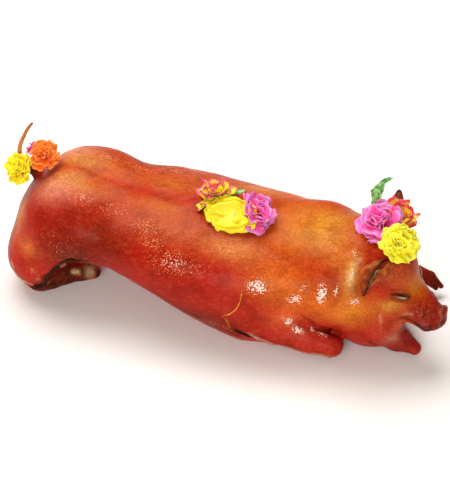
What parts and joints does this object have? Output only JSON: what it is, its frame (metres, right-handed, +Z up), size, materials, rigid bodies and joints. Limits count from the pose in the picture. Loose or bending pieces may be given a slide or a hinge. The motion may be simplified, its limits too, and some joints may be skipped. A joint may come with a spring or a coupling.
{
  "type": "roast suckling pig",
  "caption": "Whole glazed roast suckling pig lying on its belly with its mouth open, dressed with carnations and leaves on the tail root, back and brow.",
  "frame": {"origin": "on the flat of the belly, in the plane the pig rests on, below the middle of the ribs", "axes": "+X from the tail towards the snout, +Y to the pig's left side, +Z up"},
  "size_m": [0.6233, 0.2174, 0.227],
  "materials": {
    "skin": "glazed roast pig skin, crackled and lacquered red-brown to golden orange",
    "petal_yellow": "fresh carnation petals, lemon yellow",
    "petal_orange": "fresh carnation petals, orange with a redder heart",
    "petal_pink": "fresh carnation petals, magenta pink paling to lilac at the rim",
    "petal_bicolour": "fresh carnation petals, yellow with crimson edges",
    "leaf": "soft green leaf with pale veins"
  },
  "bodies": {
    "root": {"roast_pig": "skin", "tail_flower_yellow": "petal_yellow", "tail_flower_orange": "petal_orange", "tail_flower_magenta": "petal_pink", "back_flower_yellow": "petal_yellow", "back_flower_bicolour": "petal_bicolour", "back_flower_pink": "petal_pink", "head_flower_yellow": "petal_yellow", "head_flower_pink": "petal_pink", "head_flower_bicolour": "petal_bicolour", "back_leaf": "leaf", "head_leaf": "leaf"}
  },
  "joints": []
}
